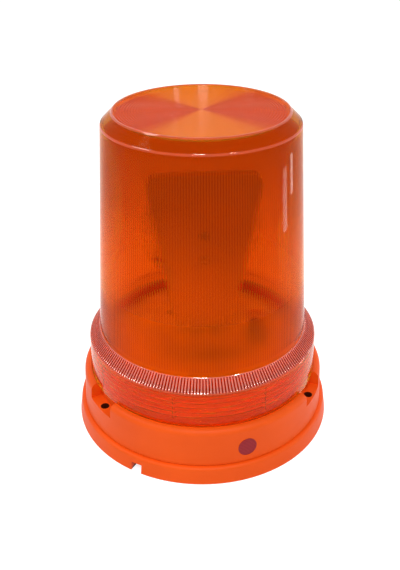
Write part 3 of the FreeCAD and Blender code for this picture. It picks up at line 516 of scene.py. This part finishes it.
holes = {
    "circle": 72.0,
    "radius": 2.6,
    "angles": (-60, 60, 180),
    "spare": 0.05,              # beyond the radius, mm
    "upright": 0.5,             # faces whose normal rises less are the holes' walls
}


def dressNode(name, material):
    mesh = nodes[name].data
    mesh.materials.clear()
    mesh.materials.append(material)
    mesh.shade_smooth()
    mesh.set_sharp_from_angle(angle=math.radians(sharpAngles["nodes"]))


def shadeHoles(name):
    # the deep walls of the fixing holes
    mesh = nodes[name].data
    mesh.materials.append(materials["holeShade"])
    reach = (holes["radius"] + holes["spare"]) * mm
    for face in mesh.polygons:
        for angle in holes["angles"]:
            axis = polar(holes["circle"], angle, 0)
            if (face.center.xy - axis.xy).length < reach and abs(face.normal.z) < holes["upright"]:
                face.material_index = 1


dressed = [(name, look) for look, names in finishes.items() for name in names]
for name, look in dressed:
    dressNode(name, materials[look])
for name in ("base_housing", "base_plate"):
    shadeHoles(name)
print("materials on", len(dressed), "nodes")

lensBox = [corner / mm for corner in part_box("lens")]
lensSizes = {
    "skirt": lensBox[1].x,      # outer radius of the skirt
    "bottom": lensBox[0].z,
    "top": lensBox[1].z,
    "wall": 2.5,
    "skirtEdge": 0.3,           # small chamfer at the skirt's lower end
    "flareLow": 55.4,           # level where the flare starts on the outside
    "flareFillet": 1.2,
    "bodyRadius": 64.6,         # at the body's lower end
    "bodyLow": 62.0,
    "shoulderRadius": 58.3,
    "shoulder": 193.0,
    "shoulderFillet": 2.0,
    "discRadius": 51.8,
    "discEdge": 199.5,          # level where the chamfer ends
    "edgeBreak": 0.3,           # small step at its upper end
    "disc": 199.3,
    "bead": (0.42, 1.12, 1.4),  # the crest's two edges and the foot, inwards from the disc's radius
    "discRings": (2.0, 3.0),    # where the disc's own faces start, likewise
    "discMiddle": (20.0, 0.4),  # radii of its inner rings
    "bodyRows": (0.02, 0.35, 0.7, 0.96),    # rings up the body, as shares of its height
    "insideEdge": 1.0,          # rounded edge under the disc
    "innerDrop": 1.0,           # how far the fluted wall reaches below the body
    "innerFillets": (1.0, 1.5),
    "ledge": 54.0,              # seat of the seal
    "ledgeInner": 64.2,
}
fluteSizes = {
    "count": 240,               # flutes round the inner wall, and ribs round the flare
    "steps": 4,                 # faces across each of them
    "depth": 0.22,
    "ribDepth": 0.60,
    # place along the wall or the flare, and share of the depth there
    "rows": ((0.02, 0.0), (0.03, 1.0), (0.35, 1.0), (0.7, 1.0), (0.97, 1.0), (0.98, 0.0)),
    "ribRows": ((0.10, 0.0), (0.15, 0.8), (0.2, 1.0), (0.5, 1.0), (0.86, 1.0), (0.91, 0.8), (0.96, 0.0)),
}
grooveSizes = {
    "pitch": 1.6,               # rings on the underside of the top
    "depth": 0.11,
    "steps": 3,                 # faces across each ring
    "count": 192,               # faces round the disc
    "step": 35.0,               # radius of the faint step in the top
    "stepHeight": 0.25,
}
threadSizes = {
    "lead": 3.2,
    "bottom": 35.5,
    "top": 51.5,
    "margin": (0.2, 0.3),       # how far the threaded face runs past them on the lens and on the collar
    "lensCrest": 67.2,          # how far in the lens's thread reaches
    "collarCrest": 67.7,        # how far out the collar's thread reaches
    "collar": 66.4,
    "collarSkin": 0.02,         # keeps the thread's root clear of the collar
    "sleeve": 65.9,             # inner face of the collar thread's sleeve, inside the collar's wall
    "halfWidth": 0.34,          # half the thread's width at its root, as a share of the lead
    "flank": 0.14,              # width of its slope, likewise
    "runOut": 0.6,              # height over which it fades at its ends
    "gaps": 8,                  # breaks in the lens's thread
    "gapAngle": -18.5,          # middle of one of them, from the front
    "gapWidth": 0.4,            # degrees
    "gapFlank": 0.8,
    "levels": 30,               # rows of faces up the thread
    "angles": 480,              # faces round the collar's
}


def arcPoints(corner, before, after, radius, steps=5):
    # points of a fillet at a corner of the outline
    corner, before, after = Vector(corner), Vector(before), Vector(after)
    back, ahead = (before - corner).normalized(), (after - corner).normalized()
    half = back.angle(ahead) / 2
    reach = radius / math.tan(half)
    centre = corner + (back + ahead).normalized() * (radius / math.sin(half))
    start, end = corner + back * reach - centre, corner + ahead * reach - centre
    whole = start.angle_signed(end)
    points = []
    for step in range(steps + 1):
        turn = -whole * step / steps
        c, s = math.cos(turn), math.sin(turn)
        points.append(tuple(centre + Vector((start.x * c - start.y * s, start.x * s + start.y * c))))
    return points


def along(first, second, share):
    return (first[0] + (second[0] - first[0]) * share, first[1] + (second[1] - first[1]) * share)


def clamp(value):
    return min(max(value, 0.0), 1.0)


def threadHeight(angle, level, sizes, broken):
    # 1 on a thread's crest, 0 between its turns
    phase = (level - sizes["lead"] * angle / 360) / sizes["lead"] % 1.0
    height = clamp((sizes["halfWidth"] - abs(phase - 0.5)) / sizes["flank"])
    height *= clamp(min(level - sizes["bottom"], sizes["top"] - level) / sizes["runOut"])
    if broken:
        pitch = 360 / sizes["gaps"]
        away = abs((angle - sizes["gapAngle"] + pitch / 2) % pitch - pitch / 2)
        height *= clamp((away - sizes["gapWidth"] / 2) / sizes["gapFlank"])
    return height


class Shell:
    # rings of points about the axis, joined one to the next
    def __init__(self):
        self.verts = []
        self.rings = []
        self.kinds = []

    def ring(self, count, place, kind=0):
        # place gives radius and level for a step's number, kind is a material or a row of them to repeat
        self.rings.append((len(self.verts), count))
        self.kinds.append(kind)
        for i in range(count):
            radius, level = place(i)
            self.verts.append(polar(radius, 360 * i / count, level))

    def plain(self, count, radius, level, kind=0):
        self.ring(count, lambda i: (radius, level), kind)

    def faces(self):
        faces, slots = [], []
        starts, ends = self.rings, self.rings[1:] + self.rings[:1]
        for (start, count), (after, number), kind in zip(starts, ends, self.kinds[1:] + self.kinds[:1]):
            fewer = min(count, number)
            own, other = count // fewer, number // fewer
            for i in range(fewer):
                low = [start + (i * own + k) % count for k in range(own + 1)]
                high = [after + (i * other + k) % number for k in range(other + 1)]
                faces.append(tuple(low + high[::-1]))
                slots.append(kind[i % len(kind)] if isinstance(kind, tuple) else kind)
        return faces, slots


def makeLens(lens, flutes, grooves, thread):
    shell = Shell()
    body, inner, groove, top, flare, valley, skirt, rim = range(len(amberKinds))    # in the order of amberKinds
    steps = flutes["steps"]
    count = flutes["count"] * steps
    coarse = grooves["count"]
    wall = lens["wall"]
    skirtInner = lens["skirt"] - wall
    # skirt
    shell.plain(count, skirtInner, lens["bottom"], skirt)
    shell.plain(count, lens["skirt"] - lens["skirtEdge"], lens["bottom"], skirt)
    shell.plain(count, lens["skirt"], lens["bottom"] + lens["skirtEdge"], skirt)
    skirtFoot = (lens["skirt"], lens["bottom"])
    flareOut = (lens["skirt"], lens["flareLow"])
    flareIn = (lens["bodyRadius"], lens["bodyLow"])
    for number, (r, z) in enumerate(arcPoints(flareOut, skirtFoot, flareIn, lens["flareFillet"])):
        shell.plain(count, r, z, rim if number else skirt)
    # half-round ribs across the flare, cut in along its normal
    slope = Vector((flareIn[0] - flareOut[0], flareIn[1] - flareOut[1])).normalized()
    for share, depth in flutes["ribRows"]:
        r, z = along(flareOut, flareIn, share)

        def ribbed(i, r=r, z=z, depth=depth * flutes["ribDepth"]):
            cut = depth * (1 - math.sin(math.pi * (i % steps) / steps))
            return r - slope.y * cut, z + slope.x * cut

        # the crests take the painted-glint material, the valleys the painted-shade one
        shell.ring(count, ribbed, (valley, flare, flare, valley))
    shell.plain(count, *flareIn, flare)
    # body and chamfer
    shoulder = (lens["shoulderRadius"], lens["shoulder"])
    for share in lens["bodyRows"]:
        shell.plain(count, *along(flareIn, shoulder, share), body)
    edge = (lens["discRadius"], lens["discEdge"])
    for number, (r, z) in enumerate(arcPoints(shoulder, flareIn, edge, lens["shoulderFillet"])):
        shell.plain(count, r, z, rim if number else body)
    shell.plain(count, edge[0] + lens["edgeBreak"], edge[1] - lens["edgeBreak"], body)
    shell.plain(count, *edge, rim)
    # the bead round the top, then the disc
    outerCrest, innerCrest, foot = lens["bead"]
    shell.plain(count, edge[0] - outerCrest, lens["top"], rim)
    shell.plain(count, edge[0] - innerCrest, lens["top"], rim)
    shell.plain(count, edge[0] - foot, lens["disc"], rim)
    firstRing, secondRing = lens["discRings"]
    shell.plain(count, edge[0] - firstRing, lens["disc"], top)
    for r in (edge[0] - secondRing, *lens["discMiddle"]):
        shell.plain(coarse, r, lens["disc"], top)
    outerRings = len(shell.rings)
    # the underside, with its fine turned rings
    inside = lens["disc"] - wall
    shell.plain(coarse, lens["discMiddle"][-1], inside, inner)
    pitch, turns = grooves["pitch"], grooves["steps"]
    limit = lens["discRadius"] - wall - lens["insideEdge"]
    for number in range(turns, int(limit / pitch) * turns):
        r = pitch * number / turns
        lift = grooves["depth"] * (1 - math.cos(2 * math.pi * number / turns)) / 2
        step = grooves["stepHeight"] if r > grooves["step"] else 0.0
        shell.plain(coarse, r, inside + lift - step, inner)
    shell.plain(coarse, limit, inside, inner)
    shell.plain(count, limit + lens["insideEdge"] / 2, inside, inner)
    innerEdge = (limit + lens["insideEdge"], inside)
    innerShoulder = (lens["shoulderRadius"] - wall, lens["shoulder"] - wall / 2)
    innerBottom = (lens["bodyRadius"] - wall, lens["bodyLow"] - lens["innerDrop"])
    firstFillet, secondFillet = lens["innerFillets"]
    corners = arcPoints(innerEdge, (0.0, inside), innerShoulder, firstFillet, 3)
    corners += arcPoints(innerShoulder, innerEdge, innerBottom, secondFillet, 3)
    for r, z in corners:
        shell.plain(count, r, z, inner)
    # fluted wall
    for share, depth in flutes["rows"]:
        r, z = along(innerShoulder, innerBottom, share)

        def fluted(i, r=r, z=z, depth=depth * flutes["depth"]):
            return r + depth * (1 - math.cos(2 * math.pi * (i % steps) / steps)) / 2, z

        # the deeper faces of each flute take the painted-shade material
        shell.ring(count, fluted, (inner, groove, groove, inner))
    # the ledge over the seal
    shell.plain(count, *innerBottom, inner)
    shell.plain(count, lens["ledgeInner"], innerBottom[1] - (lens["ledgeInner"] - innerBottom[0]), inner)
    shell.plain(count, lens["ledgeInner"], lens["ledge"], inner)
    shell.plain(count, skirtInner, lens["ledge"], inner)
    # the skirt's inner face with its broken thread
    margin = thread["margin"][0]
    for k in range(thread["levels"] + 1):
        z = thread["top"] + margin - (thread["top"] - thread["bottom"] + 2 * margin) * k / thread["levels"]

        def threaded(i, z=z):
            height = threadHeight(360 * i / count, z, thread, True)
            return skirtInner - height * (skirtInner - thread["lensCrest"]), z

        shell.ring(count, threaded, skirt)
    faces, slots = shell.faces()
    # the join between the two small rings at the axis becomes two flat ends
    first, second = shell.rings[outerRings - 1][0], shell.rings[outerRings][0]
    kept = [k for k, f in enumerate(faces) if not (min(f) >= first and max(f) < second + coarse)]
    ends = [tuple(range(start, start + coarse)) for start in (first, second)]
    faces = [faces[k] for k in kept] + ends
    slots = [slots[k] for k in kept] + [top, inner]
    obj = addMesh("lensShell", shell.verts, faces, [materials[name] for name in amberKinds], slots)
    obj.data.set_sharp_from_angle(angle=math.radians(sharpAngles["lens"]))
    return obj


def makeCollarThread(thread):
    shell = Shell()
    count = thread["angles"]
    margin = thread["margin"][1]
    low, high = thread["bottom"] - margin, thread["top"] + margin
    root = thread["collar"] + thread["collarSkin"]
    shell.plain(count, thread["sleeve"], low)
    for k in range(thread["levels"] + 1):
        z = low + (high - low) * k / thread["levels"]

        def threaded(i, z=z):
            height = threadHeight(360 * i / count, z - thread["lead"] / 2, thread, False)
            return root + height * (thread["collarCrest"] - thread["collar"]), z

        shell.ring(count, threaded)
    shell.plain(count, thread["sleeve"], high)
    faces, slots = shell.faces()
    return addMesh("collarThread", shell.verts, faces, [materials["housingOrange"]], slots)


lensShell = makeLens(lensSizes, fluteSizes, grooveSizes, threadSizes)
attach(lensShell, "lens")
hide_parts("lens")
print("lens made,", len(lensShell.data.polygons), "faces")

collarThread = makeCollarThread(threadSizes)
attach(collarThread, "root")
print("collar thread made,", len(collarThread.data.polygons), "faces")
